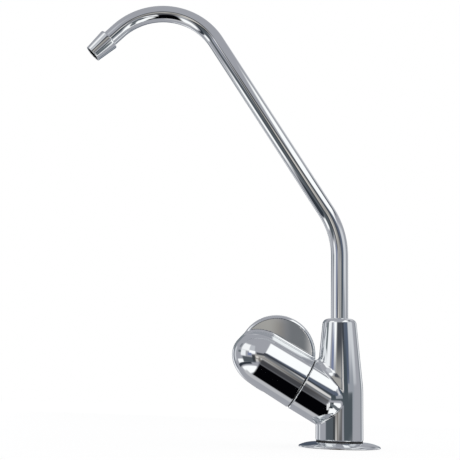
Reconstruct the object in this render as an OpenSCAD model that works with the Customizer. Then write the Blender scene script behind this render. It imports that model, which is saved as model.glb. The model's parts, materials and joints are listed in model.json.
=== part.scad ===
// Drinking water filter tap: tapered column with a tilted valve barrel, a disc lever and a swivel spout.
// Millimetres, +Z up. The origin is the middle of the deck hole, at the height of the worktop's face.
// The spout and the lever barrel reach out towards -Y.

/* [Column] */
// Radius of the straight lower part of the column
column_r = 13.4; // [12:0.1:16]
// Height at which the column starts to taper
taper_z = 33; // [28:0.5:40]
// Radius of the column just under its rounded shoulder
column_top_r = 9.8; // [9.6:0.1:11]
// Height of the column's flat top
column_top_z = 72.5; // [68:0.5:80]
// Radius of the rounded shoulder
shoulder_r = 2.8; // [1:0.1:3]

/* [Barrel] */
// Angle of the valve barrel above the horizontal, in degrees
barrel_angle = 30; // [26:1:34]
// Height at which the barrel's axis crosses the column's axis
barrel_z = 22.5; // [21:0.5:26]
// Distance along the barrel's axis to the middle of the rounded root
root_u = 8.8; // [7:0.1:11]
// Radius of the rounded root
root_r = 15.8; // [15:0.1:17]
// Distance along the axis to the seam between the branch and the lever
seam_u = 25.2; // [24:0.1:28]
// Width of the seam
seam_gap = 0.7; // [0.5:0.05:1]
// Chamfer at the mouth of the branch
mouth_chamfer = 0.5; // [0.2:0.05:0.8]
// Chamfer at the open end of the lever barrel
skirt_chamfer = 0.25; // [0.1:0.05:0.6]

/* [Lever] */
// Distance along the axis to the start of the lever's rounded nose
nose_u = 51; // [48:0.5:56]
// Radius of the lever barrel at the start of the nose
nose_r = 15.1; // [14.5:0.1:15.6]
// Length of the rounded nose
nose_len = 18.4; // [17:0.1:21]
// Radius of the disc that the fingers turn
disc_r = 22.1; // [20:0.1:24]
// Distance along the axis to the middle of the disc
disc_u = 45.8; // [44:0.1:49]
// Height of the disc's middle above the barrel's axis
disc_lift = 7.3; // [6:0.1:9]
// Thickness of the disc
disc_t = 5.5; // [4:0.1:7]
// Radius of the disc's rounded rim
disc_rim_r = 2.4; // [1:0.1:2.7]
// Fillet between the disc and the barrel
disc_fillet = 2.2; // [1:0.1:3]
// Radius of the hollow under the lever barrel
skirt_bore_r = 12.6; // [12.2:0.1:13]
// Length of that hollow, from the open end
skirt_bore_len = 10.6; // [10:0.1:12]

/* [Spout] */
// Outside diameter of the spout tube
tube_d = 10; // [9.5:0.1:10.4]
// Wall of the spout tube
tube_wall = 1; // [0.8:0.1:1.4]
// Height at which the tube starts to bend
rise_z = 109.4; // [95:0.5:125]
// Bend radius at the top of the rise
low_bend_r = 50; // [40:1:60]
// Lean of the long slope from the vertical, in degrees
lean = 33; // [25:1:40]
// Length of the long slope
slope_len = 126; // [100:1:150]
// Bend radius of the top
top_bend_r = 39; // [30:1:50]
// Angle that the top bend turns through, in degrees
top_bend_angle = 103; // [90:1:115]
// Straight tube that shows before the nozzle
tip_show = 8; // [4:0.5:14]

/* [Nozzle] */
// Length of the nozzle
nozzle_len = 14.2; // [11:0.1:15]
// Radius of the nozzle's large end
nozzle_big_r = 6.65; // [6.3:0.05:7.2]
// Radius of the nozzle's small end
nozzle_small_r = 5.3; // [5.1:0.05:5.8]
// Length of tube that goes into the nozzle
nozzle_lap = 5; // [4:0.1:6]
// Radius of the outlet bore
outlet_r = 4.4; // [4.2:0.05:4.6]
// Thickness of the flow straightener
straightener_t = 2.2; // [1.6:0.1:3]
// Radius of one hole of the straightener
straightener_hole_r = 0.85; // [0.6:0.05:0.9]
// Number of holes in the straightener's ring
straightener_holes = 6; // [4:1:6]

/* [Spout joint] */
// Radius of the socket in the column
socket_r = 6.6; // [6.5:0.05:6.8]
// Depth of the socket below the column's top
socket_depth = 29.5; // [27:0.5:31]
// Height of the guide bush at the socket's mouth
bush_h = 5; // [4:0.1:7]
// Depth of the tube inside its stem
stem_lap = 10; // [8:0.5:11]
// Thickness of a spout o-ring
spout_ring_d = 1.5; // [1.3:0.05:1.6]
// Width of an o-ring groove on the stem
spout_groove_w = 1.9; // [1.7:0.05:2.2]
// Distance from the stem's foot to its first groove
spout_groove_z = 2.4; // [1.6:0.1:3]
// Distance from one groove to the next
spout_groove_step = 5; // [4:0.1:6]
// Thickness of the slip washer under the stem
slip_washer_t = 1; // [0.6:0.1:1.5]
// Radius of the outlet passage between the valve and the socket
passage_r = 3.5; // [3:0.1:4]

/* [Valve] */
// Radius of the valve chamber
chamber_r = 10; // [9.6:0.1:10.4]
// Distance along the axis to the chamber's floor
chamber_floor_u = 5; // [4:0.1:6]
// Distance along the axis to the ledge that carries the cartridge
ledge_u = 22; // [21.5:0.1:22.6]
// Radius of the ledge's counterbore
ledge_r = 12.2; // [11.9:0.1:12.5]
// Radius of the ceramic discs
ceramic_r = 6.85; // [6.5:0.05:7]
// Thickness of one ceramic disc
ceramic_t = 2; // [1.6:0.1:2.4]
// Thickness of the seat seal
seat_seal_t = 2.4; // [1.8:0.1:3]
// Bore radius of the seat seal
seat_seal_bore_r = 5.5; // [5.3:0.1:5.9]
// Inner radius of a port in the ceramic discs
port_in_r = 1.9; // [1.5:0.1:2.4]
// Outer radius of a port in the fixed disc
port_out_r = 5.2; // [4.6:0.1:5.3]
// Angle of one port, in degrees
port_angle = 80; // [60:1:85]
// Outside radius of the cartridge's cage
cage_r = 8.8; // [8.4:0.1:9.2]
// Length of a window in the cage
window_len = 3.4; // [2.5:0.1:4]
// Angle of one window, in degrees
window_angle = 90; // [60:1:110]
// Width of the cartridge's hexagon across its flats
hex_af = 19; // [18:0.5:20]
// Length of the hexagon
hex_len = 4.6; // [3.5:0.1:4.8]
// Thickness of the cartridge's flange
flange_t = 1.6; // [1.2:0.1:2]
// Radius of the cartridge's neck
neck_r = 6.4; // [6:0.1:7]
// Length of the cartridge's neck
neck_len = 3.6; // [2.5:0.1:4]
// Thickness of the housing o-ring
housing_ring_d = 1.6; // [1.4:0.05:1.7]

/* [Spindle] */
// Radius of the spindle
spindle_r = 3.95; // [3.6:0.05:4.2]
// Radius of the spindle's foot
foot_r = 5.6; // [5.2:0.1:5.8]
// Thickness of the spindle's foot
foot_t = 3; // [2.5:0.1:3.5]
// Angle of the stop lug on the foot, in degrees
lug_angle = 135; // [110:1:150]
// Quarter turn of the lever, in degrees
turn_angle = 90; // [90:1:90]
// Width of the drive tongue
tongue_w = 3; // [2.4:0.1:3.6]
// Length of the drive tongue
tongue_len = 8.6; // [7:0.1:9]
// Height of the drive tongue
tongue_h = 1; // [0.7:0.1:1.2]
// Thickness of the slip washer above the foot
thrust_washer_t = 0.6; // [0.4:0.05:1]
// Thickness of a spindle o-ring
spindle_ring_d = 1.3; // [1.1:0.05:1.4]
// Distance from the foot to the first spindle o-ring
spindle_ring_u = 3; // [2:0.1:4]
// Distance between the two spindle o-rings
spindle_ring_step = 5; // [3:0.1:6]
// Thickness of the circlip
circlip_t = 0.8; // [0.6:0.05:1]
// Outside radius of the circlip
circlip_r = 5.9; // [5.2:0.1:6.2]
// Opening of the circlip
circlip_gap = 4; // [3:0.1:5]
// Length of the splined end
spline_len = 8.6; // [7:0.1:10]
// Number of spline teeth
spline_teeth = 20; // [12:2:24]
// Depth of a spline tooth
spline_depth = 0.45; // [0.3:0.05:0.6]

/* [Lever fixing] */
// Width of the splined insert across its flats
insert_af = 11; // [10.6:0.1:12]
// Largest radius of the insert, over its corners
insert_r = 6.4; // [6.2:0.1:6.8]
// Length of the splined insert
insert_len = 10; // [9:0.1:11]
// Radius of the lever's grub screw
grub_r = 2; // [1.5:0.1:2.5]
// Length of the grub screw
grub_len = 8; // [6:0.5:8]
// Width of the grub screw's socket across its flats
grub_af = 2; // [1.5:0.1:2.2]
// Depth of the grub screw's socket
grub_socket_len = 2.5; // [1.5:0.1:3]

/* [Base] */
// Radius of the cover plate on the worktop
plate_r = 23; // [22:0.1:26]
// Height of the cover plate
plate_h = 3.2; // [3:0.1:4]
// Height of the plate's thin rim
plate_rim_h = 0.9; // [0.6:0.1:1.2]
// Sheet thickness of the cover plate
plate_wall = 1; // [0.8:0.1:1.2]
// Flat radius left around the column on top of the plate
plate_land = 0.9; // [0.5:0.1:2]
// Height that the plate's rim stands off the worktop
rim_lift = 0.25; // [0.2:0.05:0.5]
// Gap between the gasket and the inside of the plate's rim
gasket_inset = 0.4; // [0.2:0.1:1]

/* [Deck fixing] */
// Radius of the threaded shank
shank_r = 5.55; // [5.5:0.05:5.6]
// Length of the shank below the worktop's face
shank_len = 52; // [46:1:70]
// Depth of the shank inside the column
shank_grip = 11; // [9:0.5:11.5]
// Radius of the waterway through the shank
waterway_r = 2.6; // [2.2:0.1:2.8]
// Thickness of the worktop that the fixing is set for
deck_t = 20; // [10:1:24]
// Radius of the plastic clamp washer
clamp_r = 15; // [13:0.5:18]
// Thickness of the plastic clamp washer
clamp_t = 4; // [3:0.5:5]
// Number of ribs on the clamp washer
clamp_ribs = 8; // [6:1:12]
// Radius of the toothed lock washer
lock_washer_r = 9.4; // [9:0.1:10]
// Thickness of the toothed lock washer
lock_washer_t = 0.8; // [0.6:0.1:1]
// Number of teeth on the lock washer
lock_teeth = 12; // [8:1:16]
// Width of the deck nut across its flats
deck_nut_af = 17.5; // [16:0.5:18]
// Height of the deck nut
deck_nut_h = 6.5; // [5:0.5:8]

/* [Inlet] */
// Radius of the supply tube's pocket
inlet_r = 3.25; // [3.2:0.05:3.3]
// Depth of the pocket in the shank's end
pocket_len = 7; // [6:0.5:9]
// Width of the compression nut across its flats
inlet_nut_af = 14.3; // [14:0.1:15]
// Height of the compression nut
inlet_nut_h = 12; // [11:0.5:14]
// Length of the compression nut's thread
inlet_nut_grip = 7; // [6:0.5:8]
// Length of the sleeve's coned end
sleeve_cone_len = 1.6; // [1:0.1:2]
// Length of the sleeve's round body
sleeve_len = 2.6; // [2:0.1:3.4]
// Wall of the sleeve
sleeve_wall = 0.85; // [0.7:0.05:1]

/* [Fits] */
// Radial clearance of a shaft that turns
run_fit = 0.06; // [0.03:0.01:0.1]
// Gap between faces and rings that move past each other
slip = 0.12; // [0.08:0.01:0.15]
// Clearance of pieces that are pushed or screwed together
seat_fit = 0.03; // [0.02:0.01:0.04]
// Clearance of a drive tongue or spline in its slot
drive_fit = 0.08; // [0.05:0.01:0.1]

/* [Hidden] */
$fn = 64;

// Cuts run past their faces by this much
over = 1;
// Straight lengths run into a bend by this much
run_in = 0.4;
// Share of the seat seal that stands free under the cartridge's cage
seal_free_share = 0.3;
// Play of the stop lug at either end of its turn, in degrees
stop_play = 1;
// A bent tube is drawn thinner by this much
draw_down = 0.005;
tube_r = tube_d / 2;
tube_bore_r = tube_r - tube_wall;

// Places along the barrel, counted from the column's axis
branch_face_u = seam_u - seam_gap / 2;
skirt_u = seam_u + seam_gap / 2;
skirt_floor_u = skirt_u + skirt_bore_len;
seal_top_u = chamber_floor_u + seat_seal_t;
fixed_top_u = seal_top_u + ceramic_t;
moving_u = fixed_top_u + slip / 2;
foot_u = moving_u + ceramic_t + seat_fit;
foot_top_u = foot_u + foot_t;
cage_foot_u = chamber_floor_u + seat_seal_t * seal_free_share;
cage_top_u = foot_top_u + seat_fit + thrust_washer_t + slip / 2;
thread_u = cage_top_u + slip;
relief_u = ledge_u - housing_ring_d - slip;
hex_u = ledge_u + flange_t;
neck_u = hex_u + hex_len;
neck_top_u = neck_u + neck_len;
circlip_u = neck_top_u + slip;
spline_u = skirt_floor_u;
spindle_top_u = spline_u + spline_len;
grub_u = spline_u + spline_len / 2;
spindle_ring_r = spindle_r + run_fit - slip / 2 - spindle_ring_d / 2 - seat_fit;

// The barrel's taper touches its round root, and the nose is a ball stretched along the axis
taper_sine = (root_r - nose_r) / (nose_u - root_u);
taper_deg = asin(taper_sine);
nose_stretch = nose_len / nose_r;

// Places up the column
plate_top_z = plate_h;
shank_top_z = plate_top_z + shank_grip;
socket_z = column_top_z - socket_depth;
stem_z = socket_z + slip_washer_t + slip / 2;
bush_z = column_top_z - bush_h;
stem_top_z = bush_z - slip;
stem_r = socket_r - slip;
tube_foot_z = stem_top_z - stem_lap;
spout_ring_r = socket_r - slip / 2 - spout_ring_d / 2;

// Places under the worktop
clamp_z = -deck_t - clamp_t;
lock_z = clamp_z - lock_washer_t;
deck_nut_z = lock_z - deck_nut_h;
inlet_nut_z = -shank_len - inlet_nut_h + inlet_nut_grip;
sleeve_z = -shank_len - sleeve_len;

// Stands the children on the barrel's axis, which then is their Z; their Y points up and back
module along_barrel(u = 0) {
    translate([0, 0, barrel_z]) rotate([90 - barrel_angle, 0, 0]) translate([0, 0, u]) children();
}

// Tube with a bore
module sleeve(outer_r, inner_r, h) {
    difference() {
        cylinder(r = outer_r, h = h);
        translate([0, 0, -over]) cylinder(r = inner_r, h = h + 2 * over);
    }
}

// Ring of round section
module o_ring(ring_r, section_d) {
    rotate_extrude() translate([ring_r, 0]) circle(r = section_d / 2, $fn = 32);
}

// Piece of a ring, from one angle through another
module ring_piece(outer_r, inner_r, h, from, sweep) {
    rotate([0, 0, from]) rotate_extrude(angle = sweep)
        translate([inner_r, 0]) square([outer_r - inner_r, h]);
}

module hexagon(af, h) {
    cylinder(r = af / 2 / cos(30), h = h, $fn = 6);
}

// Outline of a hexagon whose corners are turned off at both ends
module nut_blank(af, h) {
    corner_r = af / 2 / cos(30);
    bevel = corner_r - af / 2;
    intersection() {
        hexagon(af, h);
        rotate_extrude() polygon([
            [0, 0], [corner_r - bevel, 0], [corner_r, bevel * tan(30)],
            [corner_r, h - bevel * tan(30)], [corner_r - bevel, h], [0, h]
        ]);
    }
}

// Half outline of the barrel up to its nose: x is the radius, y the way along
module barrel_outline() {
    intersection() {
        union() {
            translate([0, root_u]) circle(r = root_r);
            polygon([
                [0, root_u], [root_r * cos(taper_deg), root_u + root_r * taper_sine], [nose_r, nose_u], [0, nose_u]
            ]);
        }
        translate([0, root_u - root_r]) square([root_r, nose_u + root_r]);
    }
}

// Radius of the barrel's tapered part at a place along it
function barrel_r(u) = nose_r + (nose_u - u) * tan(taper_deg);

module column() {
    taper_deg_side = atan2(column_r - column_top_r, column_top_z - shoulder_r - taper_z);
    rotate_extrude() {
        polygon([
            [0, plate_top_z], [column_r, plate_top_z], [column_r, taper_z],
            [column_top_r, column_top_z - shoulder_r], [0, column_top_z - shoulder_r]
        ]);
        translate([0, column_top_z - shoulder_r]) square([column_top_r - shoulder_r, shoulder_r]);
        intersection() {
            translate([column_top_r - shoulder_r, column_top_z - shoulder_r]) circle(r = shoulder_r);
            translate([0, column_top_z - shoulder_r]) square([column_top_r, shoulder_r]);
        }
    }
}

module branch() {
    along_barrel() rotate_extrude() intersection() {
        barrel_outline();
        polygon([
            [0, root_u - root_r], [root_r, root_u - root_r], [root_r, root_u],
            [barrel_r(branch_face_u - mouth_chamfer), branch_face_u - mouth_chamfer],
            [barrel_r(branch_face_u) - mouth_chamfer, branch_face_u], [0, branch_face_u]
        ]);
    }
}

module body() {
    color("silver") difference() {
        union() {
            column();
            branch();
        }
        translate([0, 0, socket_z]) cylinder(r = socket_r, h = socket_depth + over);
        translate([0, 0, barrel_z + chamber_r]) cylinder(r = passage_r, h = socket_z - barrel_z - chamber_r + over);
        translate([0, 0, plate_top_z - over]) cylinder(r = shank_r + seat_fit, h = shank_grip + over);
        translate([0, 0, shank_top_z - over])
            cylinder(r = waterway_r, h = barrel_z - shank_top_z + waterway_r + over);
        along_barrel() {
            cylinder(r = waterway_r, h = chamber_floor_u + over);
            translate([0, 0, chamber_floor_u]) cylinder(r = chamber_r, h = ledge_u);
            translate([0, 0, relief_u]) cylinder(r = chamber_r + housing_ring_d / 2 + seat_fit, h = ledge_u);
            translate([0, 0, ledge_u]) cylinder(r = ledge_r, h = ledge_u);
        }
    }
}

module cover_plate() {
    land_r = column_r + plate_land;
    // The top is an arc from the land down to the rim
    drop = plate_top_z - rim_lift - plate_rim_h;
    run = plate_r - land_r;
    arc_r = (pow(run, 2) + pow(drop, 2)) / (2 * drop);
    color("silver") rotate_extrude() difference() {
        union() {
            translate([shank_r + slip, rim_lift]) square([plate_r - shank_r - slip, plate_rim_h]);
            translate([shank_r + slip, rim_lift]) square([land_r - shank_r - slip, plate_top_z - rim_lift]);
            intersection() {
                translate([land_r, plate_top_z - arc_r]) circle(r = arc_r, $fn = 180);
                translate([land_r, rim_lift]) square([run, plate_h]);
            }
        }
        polygon([
            [0, -over], [plate_r - plate_wall, -over], [plate_r - plate_wall, rim_lift],
            [plate_r - 2 * plate_wall, plate_rim_h], [land_r, plate_top_z - plate_wall], [0, plate_top_z - plate_wall]
        ]);
    }
}

module base_gasket() {
    color("dimgray") sleeve(plate_r - 2 * plate_wall - gasket_inset, shank_r + slip, plate_rim_h);
    color("dimgray") translate([0, 0, plate_rim_h])
        sleeve(column_r + plate_land, shank_r + slip, plate_top_z - plate_wall - plate_rim_h);
}

module threaded_shank() {
    color("goldenrod") difference() {
        translate([0, 0, -shank_len]) cylinder(r = shank_r, h = shank_len + shank_top_z);
        translate([0, 0, -shank_len - over]) cylinder(r = waterway_r, h = shank_len + shank_top_z + 2 * over);
        translate([0, 0, -shank_len - over]) cylinder(r = inlet_r, h = pocket_len + over);
        translate([0, 0, -shank_len - seat_fit])
            cylinder(r1 = inlet_r + sleeve_wall + seat_fit, r2 = inlet_r, h = sleeve_cone_len + seat_fit);
    }
}

module clamp_washer() {
    flange_share = 0.45;
    rib_share = 0.12;
    hub_share = 0.62;
    color("dimgray") translate([0, 0, clamp_z]) difference() {
        union() {
            translate([0, 0, clamp_t * (1 - flange_share)]) cylinder(r = clamp_r, h = clamp_t * flange_share);
            cylinder(r = clamp_r * hub_share, h = clamp_t);
            for (i = [0:clamp_ribs - 1]) rotate([0, 0, i * 360 / clamp_ribs])
                translate([0, -clamp_r * rib_share / 2, clamp_t * flange_share / 2])
                cube([clamp_r - clamp_t / 2, clamp_r * rib_share, clamp_t * (1 - flange_share)]);
        }
        translate([0, 0, -over]) cylinder(r = shank_r + slip, h = clamp_t + 2 * over);
    }
}

module lock_washer() {
    notch_share = 0.4;
    color("lightgray") translate([0, 0, lock_z]) difference() {
        cylinder(r = lock_washer_r, h = lock_washer_t);
        translate([0, 0, -over]) cylinder(r = shank_r + slip, h = lock_washer_t + 2 * over);
        for (i = [0:lock_teeth - 1]) rotate([0, 0, (i + notch_share) * 360 / lock_teeth])
            ring_cut(lock_washer_r, 360 / lock_teeth * notch_share);
    }
}

// One gap between two teeth of the lock washer
module ring_cut(outer_r, sweep) {
    root_share = 0.8;
    translate([0, 0, -over])
        ring_piece(outer_r + over, outer_r * root_share, lock_washer_t + 2 * over, 0, sweep);
}

module deck_nut() {
    color("goldenrod") translate([0, 0, deck_nut_z]) difference() {
        nut_blank(deck_nut_af, deck_nut_h);
        translate([0, 0, -over]) cylinder(r = shank_r + seat_fit, h = deck_nut_h + 2 * over);
    }
}

module inlet_nut() {
    color("goldenrod") translate([0, 0, inlet_nut_z]) difference() {
        nut_blank(inlet_nut_af, inlet_nut_h);
        translate([0, 0, -over]) cylinder(r = inlet_r + slip, h = inlet_nut_h + 2 * over);
        translate([0, 0, sleeve_z - seat_fit - inlet_nut_z]) cylinder(r = shank_r + seat_fit, h = inlet_nut_h);
    }
}

module inlet_sleeve() {
    color("goldenrod") rotate_extrude() polygon([
        [inlet_r, sleeve_z], [inlet_r + sleeve_wall, sleeve_z], [inlet_r + sleeve_wall, -shank_len - seat_fit],
        [inlet_r + sleeve_wall / 2, -shank_len + sleeve_cone_len / 2 - seat_fit],
        [inlet_r, -shank_len + sleeve_cone_len / 2 - seat_fit]
    ]);
}

module cartridge_body() {
    bore_r = ceramic_r + slip;
    stop_angle = 360 - turn_angle - lug_angle;
    color("goldenrod") along_barrel() difference() {
        union() {
            translate([0, 0, cage_foot_u]) cylinder(r = cage_r, h = thread_u - cage_foot_u);
            translate([0, 0, thread_u]) cylinder(r = chamber_r - seat_fit, h = relief_u - thread_u);
            translate([0, 0, relief_u]) cylinder(r = chamber_r - housing_ring_d / 2, h = ledge_u - relief_u);
            translate([0, 0, ledge_u]) cylinder(r = ledge_r - slip, h = flange_t);
            translate([0, 0, hex_u]) nut_blank(hex_af, hex_len);
            translate([0, 0, neck_u]) cylinder(r = neck_r, h = neck_len);
        }
        difference() {
            translate([0, 0, cage_foot_u - over]) cylinder(r = bore_r, h = cage_top_u - cage_foot_u + over);
            translate([0, 0, foot_u + slip])
                ring_piece(bore_r + over, foot_r + slip, foot_t - 2 * slip, 90 + lug_angle / 2 + stop_play,
                    stop_angle - 2 * stop_play);
        }
        translate([0, 0, cage_foot_u]) cylinder(r = spindle_r + run_fit, h = neck_top_u);
        for (side = [0, 180]) translate([0, 0, moving_u])
            ring_piece(cage_r + over, bore_r - over, window_len, side - window_angle / 2, window_angle);
    }
}

// Disc with two opposite ports; open_out makes the ports reach the rim
module ported_disc(port_r, from) {
    difference() {
        cylinder(r = ceramic_r, h = ceramic_t);
        for (side = [0, 180]) translate([0, 0, -over])
            ring_piece(port_r, port_in_r, ceramic_t + 2 * over, from + side - port_angle / 2, port_angle);
    }
}

module fixed_disc() {
    color("white") along_barrel(seal_top_u) ported_disc(port_out_r, 0);
}

module moving_disc() {
    color("whitesmoke") along_barrel(moving_u) difference() {
        ported_disc(ceramic_r + over, turn_angle);
        translate([-tongue_len / 2 - drive_fit, -tongue_w / 2 - drive_fit, ceramic_t - tongue_h])
            cube([tongue_len + 2 * drive_fit, tongue_w + 2 * drive_fit, tongue_h + over]);
    }
}

module seat_seal() {
    color("dimgray") along_barrel(chamber_floor_u) sleeve(ceramic_r, seat_seal_bore_r, seat_seal_t);
}

module housing_o_ring() {
    color("dimgray") along_barrel(relief_u + housing_ring_d / 2 + slip / 2) o_ring(chamber_r, housing_ring_d);
}

// Splined bar; grow widens it into the cutter of a splined bore
module spline(h, grow = 0) {
    tip_r = spindle_r - run_fit + grow;
    root_r = spindle_r - spline_depth + grow;
    tooth = 360 / spline_teeth;
    root_share = 0.34;
    tip_share = 0.18;
    linear_extrude(height = h) polygon([
        for (i = [0:spline_teeth - 1]) for (side = [-1, 1]) for (part = side < 0 ? [0, 1] : [1, 0])
            let (r = part == 0 ? root_r : tip_r, a = (i + side * (part == 0 ? root_share : tip_share)) * tooth)
            [r * cos(a), r * sin(a)]
    ]);
}

// Round foot of the spindle with its stop lug
module foot_outline() {
    far = 2 * ceramic_r;
    circle(r = foot_r);
    intersection() {
        circle(r = ceramic_r - slip);
        polygon([
            [0, 0], [far * sin(lug_angle / 2), far * cos(lug_angle / 2)], [0, far],
            [-far * sin(lug_angle / 2), far * cos(lug_angle / 2)]
        ]);
    }
}

module spindle() {
    groove_w = spindle_ring_d + slip;
    groove_r = spindle_ring_r - spindle_ring_d / 2 - seat_fit;
    color("goldenrod") along_barrel() difference() {
        union() {
            translate([-tongue_len / 2, -tongue_w / 2, foot_u - tongue_h + seat_fit])
                cube([tongue_len, tongue_w, tongue_h + foot_t / 2]);
            translate([0, 0, foot_u]) linear_extrude(height = foot_t) foot_outline();
            translate([0, 0, foot_u + foot_t / 2]) cylinder(r = spindle_r, h = spline_u - foot_u - foot_t / 2);
            translate([0, 0, spline_u - run_in]) spline(spline_len + run_in);
        }
        for (i = [0, 1]) translate([0, 0, foot_top_u + spindle_ring_u + i * spindle_ring_step])
            sleeve(spindle_r + over, groove_r, groove_w);
        translate([0, 0, circlip_u - seat_fit])
            sleeve(spindle_r + over, spindle_r - circlip_t, circlip_t + 2 * seat_fit);
    }
}

module spindle_o_ring(index) {
    color("dimgray")
        along_barrel(foot_top_u + spindle_ring_u + index * spindle_ring_step + (spindle_ring_d + slip) / 2)
        o_ring(spindle_ring_r, spindle_ring_d);
}

module spindle_o_ring_inner() {
    spindle_o_ring(0);
}

module spindle_o_ring_outer() {
    spindle_o_ring(1);
}

module thrust_washer() {
    color("white") along_barrel(foot_top_u + seat_fit)
        sleeve(ceramic_r - slip, spindle_r + seat_fit, thrust_washer_t);
}

module spindle_circlip() {
    color("gray") along_barrel(circlip_u) difference() {
        sleeve(circlip_r, spindle_r - circlip_t + seat_fit, circlip_t);
        translate([0, -circlip_gap / 2, -over]) cube([circlip_r + over, circlip_gap, circlip_t + 2 * over]);
    }
}

// Section of the fillet beside the disc: x counts outwards from the barrel, y is across the disc
module fillet_section() {
    reach = disc_t / 2 + disc_fillet;
    centre_n = sqrt(pow(nose_r + disc_fillet, 2) - pow(reach, 2)) - nose_r;
    touch_share = nose_r / (nose_r + disc_fillet);
    touch_y = reach * touch_share;
    difference() {
        translate([-disc_fillet, -touch_y]) square([disc_fillet + centre_n, 2 * touch_y]);
        for (side = [-1, 1]) translate([centre_n, side * reach]) circle(r = disc_fillet);
    }
}

// Fillet along the top of the tapered barrel
module disc_fillet_band() {
    translate([0, nose_r, nose_u]) rotate([taper_deg, 0, 0]) rotate([180, 0, 90])
        linear_extrude(height = nose_u - skirt_u) fillet_section();
}

module finger_disc() {
    flat_r = disc_r - disc_rim_r;
    translate([0, disc_lift, disc_u]) rotate([0, 90, 0]) rotate_extrude() {
        translate([0, -disc_t / 2]) square([flat_r, disc_t]);
        translate([0, disc_rim_r - disc_t / 2]) square([disc_r, disc_t - 2 * disc_rim_r]);
        intersection() {
            for (side = [-1, 1]) translate([flat_r, side * (disc_t / 2 - disc_rim_r)]) circle(r = disc_rim_r);
            translate([0, -disc_t / 2]) square([disc_r, disc_t]);
        }
    }
}

module insert_outline(grow = 0) {
    intersection() {
        circle(r = insert_r + grow);
        square([insert_af + 2 * grow, insert_af + 2 * grow], center = true);
    }
}

module lever_handle() {
    skirt_r = barrel_r(skirt_u);
    color("silver") along_barrel() difference() {
        union() {
            rotate_extrude() intersection() {
                barrel_outline();
                polygon([
                    [0, skirt_u], [skirt_r - skirt_chamfer, skirt_u], [skirt_r, skirt_u + skirt_chamfer],
                    [root_r, skirt_u + skirt_chamfer], [root_r, nose_u], [0, nose_u]
                ]);
            }
            translate([0, 0, nose_u]) scale([1, 1, nose_stretch]) sphere(r = nose_r);
            intersection() {
                union() {
                    finger_disc();
                    disc_fillet_band();
                }
                translate([-disc_r, -disc_r, skirt_u]) cube([2 * disc_r, 3 * disc_r, 3 * disc_r]);
            }
        }
        translate([0, 0, skirt_u - over]) cylinder(r = skirt_bore_r, h = skirt_bore_len + over);
        translate([0, 0, skirt_floor_u - over]) linear_extrude(height = insert_len + over)
            insert_outline(seat_fit);
        translate([0, 0, grub_u]) rotate([90, 0, 0]) cylinder(r = grub_r + seat_fit, h = root_r + over);
    }
}

module handle_insert() {
    color("white") along_barrel() difference() {
        translate([0, 0, skirt_floor_u]) linear_extrude(height = insert_len - seat_fit) insert_outline();
        translate([0, 0, skirt_floor_u - over]) spline(spline_len + seat_fit + over, drive_fit / 2);
        translate([0, 0, grub_u]) rotate([90, 0, 0]) cylinder(r = grub_r + seat_fit, h = root_r);
    }
}

module handle_grub_screw() {
    color("gray") along_barrel(grub_u) rotate([90, 0, 0]) translate([0, 0, spindle_r + drive_fit]) difference() {
        cylinder(r = grub_r, h = grub_len);
        translate([0, 0, grub_len - grub_socket_len]) hexagon(grub_af, grub_socket_len + over);
    }
}

module spout_bush() {
    color("dimgray") translate([0, 0, bush_z]) sleeve(socket_r - seat_fit, tube_r + run_fit, bush_h);
}

module spout_slip_washer() {
    color("white") translate([0, 0, socket_z]) sleeve(socket_r - slip, passage_r, slip_washer_t);
}

// Bend that starts at the origin, heads up and curves towards -Y
module bend(bend_r, angle, bar_r) {
    translate([0, -bend_r, 0]) rotate([90, 0, 90]) rotate_extrude(angle = angle)
        translate([bend_r, 0]) circle(r = bar_r - draw_down);
}

// Puts the children at the end of such a bend
module after_bend(bend_r, angle) {
    translate([0, bend_r * (cos(angle) - 1), bend_r * sin(angle)]) rotate([angle, 0, 0]) children();
}

// Puts the children where the straight tip of the spout starts
module at_spout_tip() {
    translate([0, 0, rise_z]) after_bend(low_bend_r, lean) translate([0, 0, slope_len])
        after_bend(top_bend_r, top_bend_angle) children();
}

// Round bar along the spout's whole path
module spout_bar(bar_r, past) {
    translate([0, 0, tube_foot_z - past]) cylinder(r = bar_r, h = rise_z - tube_foot_z + past + run_in);
    translate([0, 0, rise_z]) {
        bend(low_bend_r, lean, bar_r);
        after_bend(low_bend_r, lean) {
            translate([0, 0, -run_in]) cylinder(r = bar_r, h = slope_len + 2 * run_in);
            translate([0, 0, slope_len]) bend(top_bend_r, top_bend_angle, bar_r);
        }
    }
    at_spout_tip() translate([0, 0, -run_in]) cylinder(r = bar_r, h = tip_show + nozzle_lap + past + run_in);
}

module spout_tube() {
    color("silver") difference() {
        spout_bar(tube_r, 0);
        spout_bar(tube_bore_r, over);
    }
}

module spout_stem() {
    groove_r = spout_ring_r - spout_ring_d / 2 - seat_fit;
    color("goldenrod") difference() {
        translate([0, 0, stem_z]) cylinder(r = stem_r, h = stem_top_z - stem_z);
        translate([0, 0, stem_z - over]) cylinder(r = tube_bore_r, h = stem_top_z - stem_z + 2 * over);
        translate([0, 0, tube_foot_z - seat_fit]) cylinder(r = tube_r + seat_fit, h = stem_lap + over);
        for (i = [0, 1]) translate([0, 0, stem_z + spout_groove_z + i * spout_groove_step])
            sleeve(stem_r + over, groove_r, spout_groove_w);
    }
}

module spout_o_ring(index) {
    color("dimgray") translate([0, 0, stem_z + spout_groove_z + index * spout_groove_step + spout_groove_w / 2])
        o_ring(spout_ring_r, spout_ring_d);
}

module spout_o_ring_lower() {
    spout_o_ring(0);
}

module spout_o_ring_upper() {
    spout_o_ring(1);
}

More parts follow.
